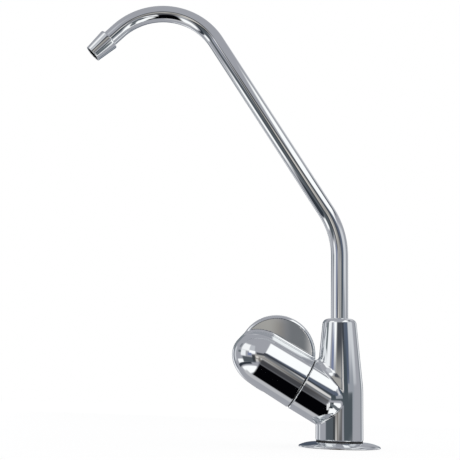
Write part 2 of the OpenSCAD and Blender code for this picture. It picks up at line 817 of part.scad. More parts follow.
module nozzle() {
    edge = nozzle_big_r - tube_r - seat_fit;
    edge_share = 0.3;
    bevel = edge * edge_share;
    pocket_r = (outlet_r + tube_r) / 2;
    color("silver") at_spout_tip() translate([0, 0, tip_show]) rotate_extrude() difference() {
        polygon([
            [0, 0], [nozzle_big_r - bevel, 0], [nozzle_big_r, bevel],
            [nozzle_small_r, nozzle_len - bevel / 2], [nozzle_small_r - bevel / 2, nozzle_len], [0, nozzle_len]
        ]);
        translate([0, -over]) square([tube_r + seat_fit, nozzle_lap + seat_fit + over]);
        square([pocket_r, nozzle_lap + 2 * seat_fit + straightener_t]);
        square([outlet_r, nozzle_len + over]);
    }
}

module flow_straightener() {
    pocket_r = (outlet_r + tube_r) / 2;
    ring_share = 0.58;
    color("dimgray") at_spout_tip() translate([0, 0, tip_show + nozzle_lap + seat_fit]) difference() {
        cylinder(r = pocket_r - seat_fit, h = straightener_t);
        translate([0, 0, -over]) cylinder(r = straightener_hole_r, h = straightener_t + 2 * over);
        for (i = [0:straightener_holes - 1]) rotate([0, 0, i * 360 / straightener_holes])
            translate([pocket_r * ring_share, 0, -over])
            cylinder(r = straightener_hole_r, h = straightener_t + 2 * over);
    }
}

body();
cover_plate();
base_gasket();
threaded_shank();
clamp_washer();
lock_washer();
deck_nut();
inlet_nut();
inlet_sleeve();
cartridge_body();
fixed_disc();
seat_seal();
housing_o_ring();
spout_bush();
spout_slip_washer();
lever_handle();
handle_insert();
handle_grub_screw();
spindle();
moving_disc();
thrust_washer();
spindle_circlip();
spindle_o_ring_inner();
spindle_o_ring_outer();
spout_tube();
spout_stem();
spout_o_ring_lower();
spout_o_ring_upper();
nozzle();
flow_straightener();
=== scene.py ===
import json
import math
import bmesh
import bpy
import numpy as np
from mathutils import Matrix, Vector

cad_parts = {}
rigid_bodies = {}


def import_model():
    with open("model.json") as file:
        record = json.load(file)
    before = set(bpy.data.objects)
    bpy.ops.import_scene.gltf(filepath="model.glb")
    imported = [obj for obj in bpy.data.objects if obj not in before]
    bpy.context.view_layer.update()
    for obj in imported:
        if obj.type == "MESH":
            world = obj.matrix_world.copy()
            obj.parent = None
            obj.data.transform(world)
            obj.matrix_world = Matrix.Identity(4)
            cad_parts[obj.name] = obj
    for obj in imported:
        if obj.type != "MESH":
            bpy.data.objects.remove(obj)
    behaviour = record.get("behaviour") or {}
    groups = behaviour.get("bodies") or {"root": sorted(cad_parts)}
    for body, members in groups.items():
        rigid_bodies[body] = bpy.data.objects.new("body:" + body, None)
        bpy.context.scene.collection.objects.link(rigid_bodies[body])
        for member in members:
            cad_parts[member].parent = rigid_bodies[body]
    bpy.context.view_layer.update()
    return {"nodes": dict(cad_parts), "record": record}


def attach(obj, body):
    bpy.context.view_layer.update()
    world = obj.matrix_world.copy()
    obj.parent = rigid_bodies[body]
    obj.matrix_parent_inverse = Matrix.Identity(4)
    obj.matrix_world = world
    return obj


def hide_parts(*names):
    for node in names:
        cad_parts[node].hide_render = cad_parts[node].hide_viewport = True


for leftover in list(bpy.data.objects):
    bpy.data.objects.remove(leftover)
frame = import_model()
scene = bpy.context.scene
print("stage 1: packed frame loaded")

# Shapes are drawn in millimetres and scaled to metres when they are finished
mm = 0.001
# Faces that meet at more than this angle keep a sharp edge between them
creaseAngle = math.radians(32)


# A socket that works in sums, on either side of the sign, and a tree that makes nodes
class Wire:
    def __init__(self, tree, socket):
        self.tree = tree
        self.socket = socket

    def __add__(self, other):
        return self.tree.calc("ADD", self, other)

    def __sub__(self, other):
        return self.tree.calc("SUBTRACT", self, other)

    def __rsub__(self, other):
        return self.tree.calc("SUBTRACT", other, self)

    def __mul__(self, other):
        return self.tree.calc("MULTIPLY", self, other)

    def __truediv__(self, other):
        return self.tree.calc("DIVIDE", self, other)

    def __rtruediv__(self, other):
        return self.tree.calc("DIVIDE", other, self)

    __radd__ = __add__
    __rmul__ = __mul__


class Tree:
    def __init__(self, nodeTree):
        self.nodeTree = nodeTree

    # Settings go in first, because they change the sockets; values are numbers or wires
    def node(self, kind, settings=None, values=None, out=0):
        made = self.nodeTree.nodes.new(kind)
        for key, value in (settings or {}).items():
            setattr(made, key, value)
        for key, value in (values or {}).items():
            socket = made.inputs[key]
            if isinstance(value, Wire):
                self.nodeTree.links.new(value.socket, socket)
            else:
                socket.default_value = value
        return Wire(self, made.outputs[out])

    def calc(self, operation, *values):
        return self.node("ShaderNodeMath", {"operation": operation}, dict(enumerate(values)))

    def dot(self, vector, along):
        return self.node(
            "ShaderNodeVectorMath", {"operation": "DOT_PRODUCT"}, {0: vector, 1: along}, out=1)

    def ramp(self, value, low, high, fromLow=0.0, toHigh=1.0):
        return self.node("ShaderNodeMapRange", {"interpolation_type": "SMOOTHSTEP"}, {
            "Value": value, "From Min": low, "From Max": high, "To Min": fromLow, "To Max": toHigh})

    def mix(self, share, first, second):
        return self.node("ShaderNodeMix", {"data_type": "RGBA"}, {0: share, 6: first, 7: second}, out=2)

    def join(self, *shapes):
        made = self.node("GeometryNodeJoinGeometry")
        for shape in shapes:
            self.nodeTree.links.new(shape.socket, made.socket.node.inputs[0])
        return made

    def clamp(self, value, low=0.0, high=1.0):
        return self.node("ShaderNodeClamp", {}, {"Value": value, "Min": low, "Max": high})

    def vector(self, x=0.0, y=0.0, z=0.0):
        return self.node("ShaderNodeCombineXYZ", {}, {"X": x, "Y": y, "Z": z})

    # Copies of a shape, evenly spaced round Z
    def around(self, shape, count):
        spots = self.node("GeometryNodePoints", {}, {"Count": count})
        turn = self.node("GeometryNodeInputIndex") * (2 * math.pi) / count
        turn = self.node("FunctionNodeEulerToRotation", {}, {"Euler": self.vector(z=turn)})
        return self.node("GeometryNodeInstanceOnPoints", {}, {
            "Points": spots, "Instance": shape, "Rotation": turn})

    def noise(self, where, scale, detail, roughness):
        return self.node("ShaderNodeTexNoise", {}, {
            "Vector": where, "Scale": scale, "Detail": detail, "Roughness": roughness})


def shade(name, colour, roughness, build, metal=0.0):
    made = bpy.data.materials.new(name)
    made.use_nodes = True
    tree = Tree(made.node_tree)
    shader = made.node_tree.nodes["Principled BSDF"]
    shader.inputs["Base Color"].default_value = (*colour, 1)
    shader.inputs["Roughness"].default_value = roughness
    shader.inputs["Metallic"].default_value = metal
    where = tree.node("ShaderNodeTexCoord", out=3)
    for key, wire in build(tree, where).items():
        made.node_tree.links.new(wire.socket, shader.inputs[key])
    return made


def bumped(tree, height, distance):
    return tree.node("ShaderNodeBump", {}, {"Height": height, "Distance": distance, "Strength": 1.0})


# Chrome: a mirror with faint smudges and a very slight wave
chromeLook = {"tone": (0.838, 0.86, 0.868), "dulled": (0.93, 0.94, 0.96), "dullShare": 0.35,
              "polish": 0.025, "smudge": 0.03, "smudgeScale": 55, "smudgeFrom": 0.48, "smudgeFull": 0.7,
              "fineTimes": 14, "waveScale": 60, "waveHeight": 0.000006}


def chromeNodes(tree, where):
    look = chromeLook
    cloud = tree.noise(where, look["smudgeScale"], 4, 0.6)
    fine = tree.noise(where, look["smudgeScale"] * look["fineTimes"], 3, 0.7)
    mark = tree.ramp(cloud, look["smudgeFrom"], look["smudgeFull"])
    wave = tree.noise(where, look["waveScale"], 1, 0.4)
    tone = look["tone"]
    dull = [part * share for part, share in zip(tone, look["dulled"])]
    return {
        "Base Color": tree.mix(mark * look["dullShare"], (*tone, 1), (*dull, 1)),
        "Roughness": mark * fine * look["smudge"] + look["polish"],
        "Normal": bumped(tree, wave, look["waveHeight"]),
    }


# The other finishes: two tones mixed by a cloud, with a fine grain in roughness and relief.
# cover: where the cloud sets in and is full; rough: the base, the cloud's share and the grain's
looks = {
    "brass": {"title": "turnedBrass", "metal": 1.0, "plain": (0.7, 0.54, 0.27), "plainRough": 0.25,
              "tones": ((0.74, 0.58, 0.29), (0.55, 0.40, 0.19)), "cloud": (160, 4, 0.6),
              "cover": (0.45, 0.75), "grain": ("rings", 900), "rough": (0.2, 0.22, 0.08), "relief": 1e-5},
    "steel": {"title": "zincSteel", "metal": 1.0, "plain": (0.62, 0.62, 0.63), "plainRough": 0.3,
              "tones": ((0.70, 0.70, 0.71), (0.52, 0.53, 0.56)), "cloud": (240, 3, 0.6),
              "grain": ("cells", 900), "rough": (0.2, 0.2, 0.1), "relief": 1.2e-5},
    "rubber": {"title": "sealRubber", "plain": (0.03, 0.03, 0.03), "plainRough": 0.7,
               "tones": ((0.028, 0.028, 0.029), (0.055, 0.055, 0.057)), "cloud": (120, 3, 0.55),
               "cover": (0.5, 0.8), "grain": ("fine", 2200, 3, 0.6), "rough": (0.6, 0.15, 0.12),
               "relief": 2e-5},
    "black_plastic": {"title": "blackAcetal", "plain": (0.04, 0.04, 0.045), "plainRough": 0.42,
                      "tones": ((0.033, 0.034, 0.038), (0.052, 0.053, 0.058)), "cloud": (90, 3, 0.5),
                      "grain": ("fine", 1600, 2, 0.5), "rough": (0.36, 0.12, 0.1), "relief": 1.5e-5},
    "white_plastic": {"title": "whiteAcetal", "plain": (0.82, 0.81, 0.78), "plainRough": 0.4,
                      "tones": ((0.84, 0.83, 0.80), (0.77, 0.76, 0.72)), "cloud": (110, 3, 0.5),
                      "grain": ("fine", 1500, 2, 0.5), "rough": (0.34, 0.12, 0.08), "relief": 1.2e-5},
    "ceramic": {"title": "lappedCeramic", "plain": (0.88, 0.87, 0.84), "plainRough": 0.16,
                "tones": ((0.90, 0.89, 0.86), (0.80, 0.79, 0.76)), "cloud": (1400, 2, 0.6),
                "cover": (0.6, 0.75), "grain": ("fine", 3000, 1, 0.4), "rough": (0.12, 0.1, 0.1),
                "relief": 4e-6},
}


def grainNodes(tree, where, kind, scale, *fineness):
    if kind == "rings":
        return tree.node("ShaderNodeTexWave", {"bands_direction": "Z"}, {
            "Vector": where, "Scale": scale, "Distortion": 1.5, "Detail": 2.0})
    if kind == "cells":
        return tree.node("ShaderNodeTexVoronoi", {}, {"Vector": where, "Scale": scale})
    return tree.noise(where, scale, *fineness)


def lookNodes(look):
    def build(tree, where):
        grain = grainNodes(tree, where, *look["grain"])
        cloud = tree.noise(where, *look["cloud"])
        if "cover" in look:
            cloud = tree.ramp(cloud, *look["cover"])
        first, second = look["tones"]
        base, clouded, grained = look["rough"]
        return {
            "Base Color": tree.mix(cloud, (*first, 1), (*second, 1)),
            "Roughness": cloud * clouded + grain * grained + base,
            "Normal": bumped(tree, grain, look["relief"]),
        }
    return build


finishes = {"chrome": shade("polishedChrome", chromeLook["tone"], 0.03, chromeNodes, 1.0)}
for slotName, look in looks.items():
    metal = look.get("metal", 0.0)
    finishes[slotName] = shade(look["title"], look["plain"], look["plainRough"], lookNodes(look), metal)
for part in frame["record"]["subparts"]:
    node = frame["nodes"][part["node"]]
    node.data.materials.clear()
    node.data.materials.append(finishes[part["material_slot"]])
print("stage 2: finishes made")


def polyMesh(name, points, faces, corners=None):
    mesh = bpy.data.meshes.new(name)
    mesh.from_pydata([tuple(map(float, p)) for p in points], [], [tuple(map(int, f)) for f in faces])
    mesh.validate()
    mesh.update()
    made = bpy.data.objects.new(name, mesh)
    scene.collection.objects.link(made)
    for polygon in mesh.polygons:
        polygon.use_smooth = True
    if corners is not None:
        mesh.normals_split_custom_set([tuple(map(float, n)) for n in corners])
    return made


def baked(piece):
    view = bpy.context.evaluated_depsgraph_get()
    mesh = bpy.data.meshes.new_from_object(piece.evaluated_get(view))
    old = piece.data
    piece.modifiers.clear()
    piece.data = mesh
    bpy.data.meshes.remove(old)
    mesh.name = piece.name


def finishPiece(piece, body, slotName, *nodes):
    piece.data.materials.clear()
    piece.data.materials.append(finishes[slotName])
    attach(piece, body)
    if nodes:
        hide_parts(*nodes)
    print("  made", piece.name, len(piece.data.polygons), "faces")


# Geometry Nodes for what repeats: build gets the tree, the base mesh and a wire for each named size
def grown(base, sizes, slotName, build):
    group = bpy.data.node_groups.new(base.name, "GeometryNodeTree")
    tree = Tree(group)
    for way in ("INPUT", "OUTPUT"):
        group.interface.new_socket("Geometry", in_out=way, socket_type="NodeSocketGeometry")
    named = {}
    for key, value in sizes.items():
        kind = "NodeSocketInt" if isinstance(value, int) else "NodeSocketFloat"
        named[key] = group.interface.new_socket(key, in_out="INPUT", socket_type=kind).identifier
    entry = group.nodes.new("NodeGroupInput")
    wires = {key: Wire(tree, entry.outputs[key]) for key in sizes}
    shape = build(tree, Wire(tree, entry.outputs["Geometry"]), wires)
    shape = tree.node("GeometryNodeRealizeInstances", {}, {"Geometry": shape})
    shape = tree.node("GeometryNodeSetMaterial", {}, {"Geometry": shape, "Material": finishes[slotName]})
    group.links.new(shape.socket, group.nodes.new("NodeGroupOutput").inputs["Geometry"])
    step = base.modifiers.new("grow", "NODES")
    step.node_group = group
    for key, identifier in named.items():
        step[identifier] = sizes[key]
    baked(base)
    for polygon in base.data.polygons:
        polygon.use_smooth = True
    base.data.set_sharp_from_angle(angle=creaseAngle)
    return base


# A profile of (radius, height) turned about Z, a closed ring or not; place puts it into the frame
def turned(name, profile, place=Matrix.Identity(4), around=160, ring=True):
    profile = np.array(profile, float)
    count = len(profile)
    spans = count if ring else count - 1
    heading = np.roll(profile, -1, 0) - profile
    length = np.maximum(np.hypot(*heading.T), 1e-9)
    side = np.stack([heading[:, 1], -heading[:, 0]], 1) / length[:, None]
    # Long strips keep their own normal where they meet a short one
    starts, ends = side.copy(), side.copy()
    for i in range(count):
        before = (i - 1) % count
        if not ring and i in (0, count - 1):
            continue
        if side[before] @ side[i] > math.cos(creaseAngle):
            joined = side[before] * length[before] + side[i] * length[i]
            joined /= np.linalg.norm(joined)
            starts[i], ends[before] = joined, joined
    turn = np.linspace(0, 2 * math.pi, around, endpoint=False)
    cosine, sine = np.cos(turn), np.sin(turn)
    points, first, pole = [], [], []
    for radius, height in profile:
        first.append(len(points))
        pole.append(radius < 1e-6)
        if pole[-1]:
            points.append((0, 0, height))
        else:
            points += list(zip(radius * cosine, radius * sine, np.full(around, height)))
    faces, corners = [], []
    for i in range(spans):
        j = (i + 1) % count
        if pole[i] and pole[j]:
            continue
        for k in range(around):
            m = (k + 1) % around
            spots = [(i, k, starts[i]), (i, m, starts[i]), (j, m, ends[i]), (j, k, ends[i])]
            if pole[i]:
                spots = [(i, k, starts[i])] + spots[2:]
            elif pole[j]:
                spots = spots[:2] + [(j, k, ends[i])]
            faces.append([first[a] + (0 if pole[a] else b) for a, b, _ in spots])
            corners += [(n[0] * cosine[b], n[0] * sine[b], n[1]) for _, b, n in spots]
    spin = np.array(place.to_3x3(), float)
    points = np.array(points) @ spin.T + np.array(place.translation)
    corners = np.array(corners) @ spin.T
    return polyMesh(name, points * mm, faces, corners)


def arc(centre, radius, start, stop, steps):
    x, y = centre
    return [(x + radius * math.cos(math.radians(a)), y + radius * math.sin(math.radians(a)))
            for a in np.linspace(start, stop, steps + 1)]


# The rounded outer side of a ring's profile, drawn upwards, and its inner side, drawn downwards
def outerSide(radius, low, high, soft, steps):
    middle = radius - soft
    lower = arc((middle, low + soft), soft, -90, 0, steps)
    return lower + arc((middle, high - soft), soft, 0, 90, steps)


def innerSide(radius, low, high, soft, steps):
    middle = radius + soft
    upper = arc((middle, high - soft), soft, 90, 180, steps)
    return upper + arc((middle, low + soft), soft, 180, 270, steps)


# Rounding where two surfaces meet, from their distance fields
def roundJoin(a, b, radius):
    corner = np.hypot(np.maximum(radius - a, 0), np.maximum(radius - b, 0))
    return np.maximum(radius, np.minimum(a, b)) - corner


def roundCut(a, b, radius):
    corner = np.hypot(np.maximum(radius + a, 0), np.maximum(radius + b, 0))
    return np.minimum(-radius, np.maximum(a, b)) + corner


# Soft edge between two nearly parallel surfaces
def softCut(a, b, width):
    near = np.maximum(width - np.abs(a - b), 0) / width
    return np.maximum(a, b) + near ** 2 * width / 4


def slope(field, points, reach=0.002):
    steps = np.eye(3) * reach
    rise = [field(points + s) - field(points - s) for s in steps]
    return np.stack(rise, -1) / (2 * reach)


# Quads on the zero surface of a distance field, evened out and drawn onto the surface itself
def skin(field, low, high, cell, passes=4, settling=3, slices=8):
    axes = [np.arange(a, b + cell, cell) for a, b in zip(low, high)]
    inside = np.concatenate([
        field(np.stack(np.meshgrid(part, axes[1], axes[2], indexing="ij"), -1)) < 0
        for part in np.array_split(axes[0], slices)])
    size = inside.shape
    full = sum(inside[i:size[0] - 1 + i, j:size[1] - 1 + j, k:size[2] - 1 + k].astype(int)
               for i in (0, 1) for j in (0, 1) for k in (0, 1))
    active = (full > 0) & (full < 8)
    number = np.full(active.shape, -1)
    number[active] = np.arange(active.sum())
    points = (np.argwhere(active) + 0.5) * cell + np.array([a[0] for a in axes])
    quads = []
    for a in range(3):
        b, c = (a + 1) % 3, (a + 2) % 3
        near = np.take(inside, range(size[a] - 1), a)
        far = np.take(inside, range(1, size[a]), a)
        for flip, hit in ((False, near & ~far), (True, ~near & far)):
            at = np.argwhere(hit)
            at = at[(at[:, b] > 0) & (at[:, c] > 0) & (at[:, b] < size[b] - 1) & (at[:, c] < size[c] - 1)]
            ring = []
            for backB, backC in ((1, 1), (0, 1), (0, 0), (1, 0)):
                spot = at.copy()
                spot[:, b] -= backB
                spot[:, c] -= backC
                ring.append(number[tuple(spot.T)])
            ring = np.stack(ring, 1)
            quads.append(ring[:, ::-1] if flip else ring)
    quads = np.concatenate(quads)
    quads = quads[(quads >= 0).all(1)]
    edges = np.concatenate([quads[:, [i, (i + 1) % 4]] for i in range(4)])
    share = np.maximum(np.bincount(edges.ravel(), minlength=len(points)), 1)[:, None]
    for turn in range(passes + settling):
        if turn < passes:
            total = np.stack([
                np.bincount(edges[:, 0], points[edges[:, 1], i], len(points))
                + np.bincount(edges[:, 1], points[edges[:, 0], i], len(points)) for i in range(3)], 1)
            points = total / share
        rise = slope(field, points)
        points = points - (field(points) / np.maximum((rise ** 2).sum(1), 0.05))[:, None] * rise
    return points, quads


# Cuts a skin with planes and caps it; each cut has a point, a normal, a chamfer and a test for its faces
def trimmed(name, points, quads, cuts):
    work = bmesh.new()
    spots = [work.verts.new(p) for p in points]
    for quad in quads:
        work.faces.new([spots[i] for i in quad])
    for point, normal, chamfer, wanted in cuts:
        faces = [f for f in work.faces if wanted(np.array([v.co for v in f.verts]))]
        edges = list(dict.fromkeys(e for f in faces for e in f.edges))
        ends = list(dict.fromkeys(v for f in faces for v in f.verts))
        bmesh.ops.bisect_plane(
            work, geom=faces + edges + ends, dist=1e-5, plane_co=point, plane_no=normal, clear_outer=True)
        rims = [e for e in work.edges if e.is_boundary]
        caps = bmesh.ops.holes_fill(work, edges=rims, sides=0)["faces"]
        if chamfer:
            bmesh.ops.recalc_face_normals(work, faces=work.faces)
            bmesh.ops.inset_region(work, faces=caps, thickness=chamfer, depth=chamfer, use_even_offset=True)
    bmesh.ops.delete(work, geom=[v for v in work.verts if not v.link_faces], context="VERTS")
    bmesh.ops.recalc_face_normals(work, faces=work.faces)
    mesh = bpy.data.meshes.new(name)
    work.to_mesh(mesh)
    work.free()
    made = bpy.data.objects.new(name, mesh)
    scene.collection.objects.link(made)
    return made


# Profile of a stepped bore: it starts at a height, and each step has a radius and the height of its end
def steppedBore(start, *steps):
    profile = [(0, start)]
    for radius, end in steps:
        profile += [(radius, start), (radius, end)]
        start = end
    return profile + [(0, start)]


def carved(piece, cutter):
    cutter.data.transform(Matrix.Scale(1 / mm, 4))
    step = piece.modifiers.new("carve", "BOOLEAN")
    step.operation = "DIFFERENCE"
    step.solver = "EXACT"
    step.object = cutter
    baked(piece)
    mesh = cutter.data
    bpy.data.objects.remove(cutter)
    bpy.data.meshes.remove(mesh)


# Gives each corner on the field's own surface the field's exact normal
def smoothSkin(piece, field, place, near=0.003, facing=0.8):
    mesh = piece.data
    for polygon in mesh.polygons:
        polygon.use_smooth = True
    mesh.set_sharp_from_angle(angle=creaseAngle)
    points = np.zeros(len(mesh.vertices) * 3)
    mesh.vertices.foreach_get("co", points)
    points = points.reshape(-1, 3)
    rise = slope(field, points)
    rise /= np.maximum(np.linalg.norm(rise, axis=1), 1e-9)[:, None]
    onSkin = np.abs(field(points)) < near
    corners = np.zeros((len(mesh.loops), 3))
    for polygon in mesh.polygons:
        spots = np.array(polygon.vertices)
        if onSkin[spots].all() and (rise[spots] @ np.array(polygon.normal)).min() > facing:
            start = polygon.loop_start
            corners[start:start + len(spots)] = rise[spots]
    mesh.transform(Matrix.Scale(mm, 4) @ place)
    spin = np.array(place.to_3x3(), float)
    mesh.normals_split_custom_set([tuple(n) for n in corners @ spin.T])
    mesh.update()


# Where things are, in millimetres, as the source has them
column = {"radius": 13.4, "taperZ": 33.0, "topRadius": 9.8, "topZ": 72.5, "shoulder": 2.8,
          "footZ": 3.2, "footGap": 0.9, "footDepth": 0.7, "taperBlend": 0.3}
barrel = {"angle": 30.0, "crossZ": 22.5, "rootU": 8.8, "rootR": 15.8, "seamU": 25.2, "seamGap": 0.7,
          "chamfer": 0.5, "noseU": 51.0, "noseR": 15.1, "noseLen": 18.4}
branch = {"rootR": 15.4, "lowFillet": 0.5, "topFillet": 3.4, "fromLift": 8.5, "fullLift": 14.0,
          "pastFace": 3.0}
disc = {"radius": 22.1, "midU": 45.8, "lift": 7.3, "thick": 5.5, "rim": 2.1, "fillet": 1.6, "crown": 0.35}

# u is the height along the barrel's axis, from where it crosses the column's
alongBarrel = Matrix.Translation((0, 0, barrel["crossZ"])) @ Matrix.Rotation(
    math.radians(90 - barrel["angle"]), 4, "X")
barrelAxis = alongBarrel.to_3x3() @ Vector((0, 0, 1))
barrelFromRow = np.array(alongBarrel.inverted(), float)
# The branch ends at faceU, and the lever's skirt starts at skirtU
faceU = barrel["seamU"] - barrel["seamGap"] / 2
skirtU = barrel["seamU"] + barrel["seamGap"] / 2
taperSine = (barrel["rootR"] - barrel["noseR"]) / (barrel["noseU"] - barrel["rootU"])
taperCos = math.sqrt(1 - taperSine ** 2)
taperTan = taperSine / taperCos
# The nose is the ellipse that leaves the taper without a kink and ends at the source's tip
noseShift = taperTan * barrel["noseLen"] ** 2 / barrel["noseR"]
noseSpan = barrel["noseLen"] + noseShift
noseWide = barrel["noseR"] / math.sqrt(1 - (noseShift / noseSpan) ** 2)


def barrelRadius(u):
    return barrel["noseR"] + (barrel["noseU"] - u) * taperTan


def barrelField(p):
    radius = np.hypot(p[..., 0], p[..., 1])
    u = p[..., 2]
    root = np.hypot(radius, u - barrel["rootU"]) - barrel["rootR"]
    side = (radius - barrel["noseR"]) * taperCos + (u - barrel["noseU"]) * taperSine
    wide, along = radius / noseWide, (u - barrel["noseU"] + noseShift) / noseSpan
    reach = np.hypot(wide, along)
    nose = reach * (reach - 1) / np.maximum(np.hypot(wide / noseWide, along / noseSpan), 1e-6)
    field = np.where(u < barrel["noseU"], side, nose)
    return np.where((u - barrel["rootU"]) * taperCos - radius * taperSine < 0, root, field)


# The branch narrows from the seam to a round root
def branchField(p):
    radius = np.hypot(p[..., 0], p[..., 1])
    u = p[..., 2]
    lean = (barrelRadius(faceU) - branch["rootR"]) / (faceU - barrel["rootU"])
    span = math.hypot(1, lean)
    side = (radius - barrelRadius(faceU) + (faceU - u) * lean) / span
    root = np.hypot(radius, u - barrel["rootU"]) - branch["rootR"]
    side = np.where((u - barrel["rootU"]) + radius * lean < 0, root, side)
    return np.maximum(side, u - faceU - branch["pastFace"])


def discField(p):
    reach = np.hypot(p[..., 1] - disc["lift"], p[..., 2] - disc["midU"])
    across = reach - (disc["radius"] - disc["rim"])
    thick = (np.abs(p[..., 0]) + disc["crown"] * np.minimum(reach / disc["radius"], 1.1) ** 2
             - (disc["thick"] / 2 - disc["rim"]))
    outside = np.hypot(np.maximum(across, 0), np.maximum(thick, 0))
    return outside + np.minimum(np.maximum(across, thick), 0) - disc["rim"]


def leverField(p):
    return roundJoin(barrelField(p), discField(p), disc["fillet"])


def columnField(p):
    radius = np.hypot(p[..., 0], p[..., 1])
    z = p[..., 2]
    drop = column["topZ"] - column["shoulder"] - column["taperZ"]
    lean = column["radius"] - column["topRadius"]
    span = math.hypot(drop, lean)
    straight = radius - column["radius"]
    taper = ((radius - column["radius"]) * drop + (z - column["taperZ"]) * lean) / span
    side = softCut(straight, taper, column["taperBlend"])
    field = roundCut(side, z - column["topZ"], column["shoulder"])
    # A narrow step where the foot meets the plate
    foot = np.minimum(straight + column["footDepth"], column["footZ"] + column["footGap"] - z)
    return np.maximum(field, foot)


# From the tap's frame into the barrel's, where the third number runs along its axis
def inBarrel(points):
    return points @ barrelFromRow[:3, :3].T + barrelFromRow[:3, 3]


# The casting is filled out above the branch and sharp below it
def bodyField(p):
    local = inBarrel(p)
    share = np.clip((local[..., 1] - branch["fromLift"]) / (branch["fullLift"] - branch["fromLift"]), 0, 1)
    growth = branch["topFillet"] - branch["lowFillet"]
    fillet = branch["lowFillet"] + growth * share ** 2 * (3 - 2 * share)
    return roundJoin(columnField(p), branchField(local), fillet)


# Column with its branch, and the bores in both
bores = {"socketR": 6.6, "socketZ": 43.0, "passageR": 3.5, "passageZ": 32, "shankR": 5.58, "shankZ": 14.2,
         "waterR": 2.6, "waterZ": 24, "chamberR": 10.0, "chamberU": 5.0, "reliefR": 10.83, "reliefU": 20.28,
         "ledgeR": 12.2, "ledgeU": 22.0, "pastFoot": 2, "pastTop": 74, "pastFace": 27}
# The grid that the casting's skin is drawn from, and where its foot and its face are cut
bodySkin = {"low": (-17.5, -38, 2.2), "high": (17.5, 16, 74), "cell": 0.6}
bodyTrim = {"footBelow": 5, "faceDepth": 1.2, "faceR": 15.9}


def makeBody():
    points, quads = skin(bodyField, **bodySkin)

    def onFoot(corners):
        return corners[:, 2].min() < bodyTrim["footBelow"]

    def onFace(corners):
        local = inBarrel(corners)
        radius = np.hypot(local[:, 0], local[:, 1])
        return local[:, 2].max() > faceU - bodyTrim["faceDepth"] and (radius < bodyTrim["faceR"]).all()

    chamfer = barrel["chamfer"]
    piece = trimmed("tapBody", points, quads, [
        ((0, 0, column["footZ"]), (0, 0, -1), 0, onFoot),
        (alongBarrel @ Vector((0, 0, faceU - chamfer)), barrelAxis, chamfer, onFace)])
    b = bores
    passage = steppedBore(b["passageZ"], (b["passageR"], b["socketZ"]), (b["socketR"], b["pastTop"]))
    inlet = steppedBore(b["pastFoot"], (b["shankR"], b["shankZ"]), (b["waterR"], b["waterZ"]))
    chamber = steppedBore(b["chamberU"], (b["chamberR"], b["reliefU"]), (b["reliefR"], b["ledgeU"]),
                          (b["ledgeR"], b["pastFace"]))
    upright = Matrix.Identity(4)
    for profile, place in ((passage, upright), (inlet, upright), (chamber, alongBarrel)):
        carved(piece, turned("cutter", profile, place, around=128, ring=False))
    smoothSkin(piece, bodyField, upright)
    finishPiece(piece, "column", "chrome", "body")


makeBody()

# Painted shade: black rubber rings set in two gaps, standing in for the shade there, so that the gaps show
# as thin dark lines: one in the lever's seam, one under the column's foot
shadeRings = {"seamInner": 12.75, "seamOuter": 15.1, "seamSlip": 0.06, "footInner": 12.72, "footOuter": 13.15,
         "footSlip": 0.02, "lip": 0.25, "lipSteps": 5, "around": 160}


# Makes one dark rubber ring that stands in for the shade in a gap (painted shade)
def makeShadeRing(name, inner, outer, low, high, place=Matrix.Identity(4)):
    profile = outerSide(outer, low, high, shadeRings["lip"], shadeRings["lipSteps"]) + [(inner, high), (inner, low)]
    finishPiece(turned(name, profile, place, shadeRings["around"]), "column", "rubber")


# Painted shade in the gap between the branch's face and the lever's skirt
makeShadeRing("seamShadeRing", shadeRings["seamInner"], shadeRings["seamOuter"],
         faceU + shadeRings["seamSlip"], skirtU - shadeRings["seamSlip"], alongBarrel)
# Painted shade in the narrow step under the column's foot
makeShadeRing("footShadeRing", shadeRings["footInner"], shadeRings["footOuter"],
         column["footZ"] + shadeRings["footSlip"], column["footZ"] + column["footGap"] - shadeRings["footSlip"])

# Lever: barrel, round nose and finger disc in one polished piece
leverBores = {"skirtR": 12.6, "skirtLen": 10.6, "skirtChamfer": 0.25, "pocketHalf": 5.53, "pocketR": 6.43,
              "pocketLen": 10.0, "grubR": 2.03, "grubU": 40.45, "grubLen": 18, "pastSkirt": 3, "overlap": 1}
leverSkin = {"low": (-17, -17, skirtU - 2), "high": (17, 31, 71), "cell": 0.6}


def makeLever():
    b = leverBores
    points, quads = skin(leverField, **leverSkin)

    def onSkirt(corners):
        return corners[:, 2].min() < skirtU + b["pastSkirt"]

    piece = trimmed("leverHandle", points, quads, [
        ((0, 0, skirtU + b["skirtChamfer"]), (0, 0, -1), b["skirtChamfer"], onSkirt)])
    floor = skirtU + b["skirtLen"]
    skirt = steppedBore(skirtU - b["pastSkirt"], (b["skirtR"], floor))
    cutters = [turned("cutter", skirt, around=128, ring=False)]
    flat = b["pocketHalf"]
    corner = math.sqrt(b["pocketR"] ** 2 - flat ** 2)
    turn = math.degrees(math.atan2(corner, flat))
    outline = []
    for quarter in (0, 90, 180, 270):
        outline += arc((0, 0), b["pocketR"], quarter + turn, quarter + 90 - turn, 6)
    count = len(outline)
    pocket = [(x, y, z) for z in (floor - b["overlap"], floor + b["pocketLen"]) for x, y in outline]
    sides = [(i, (i + 1) % count, count + (i + 1) % count, count + i) for i in range(count)]
    ends = [tuple(range(count))[::-1], tuple(range(count, 2 * count))]
    cutters.append(polyMesh("cutter", np.array(pocket) * mm, ends + sides))
    under = Matrix.Translation((0, 0, b["grubU"])) @ Matrix.Rotation(math.radians(90), 4, "X")
    cutters.append(turned("cutter", steppedBore(0, (b["grubR"], b["grubLen"])), under, 64, ring=False))
    for cutter in cutters:
        carved(piece, cutter)
    smoothSkin(piece, leverField, alongBarrel)
    finishPiece(piece, "lever", "chrome", "lever_handle")


makeLever()

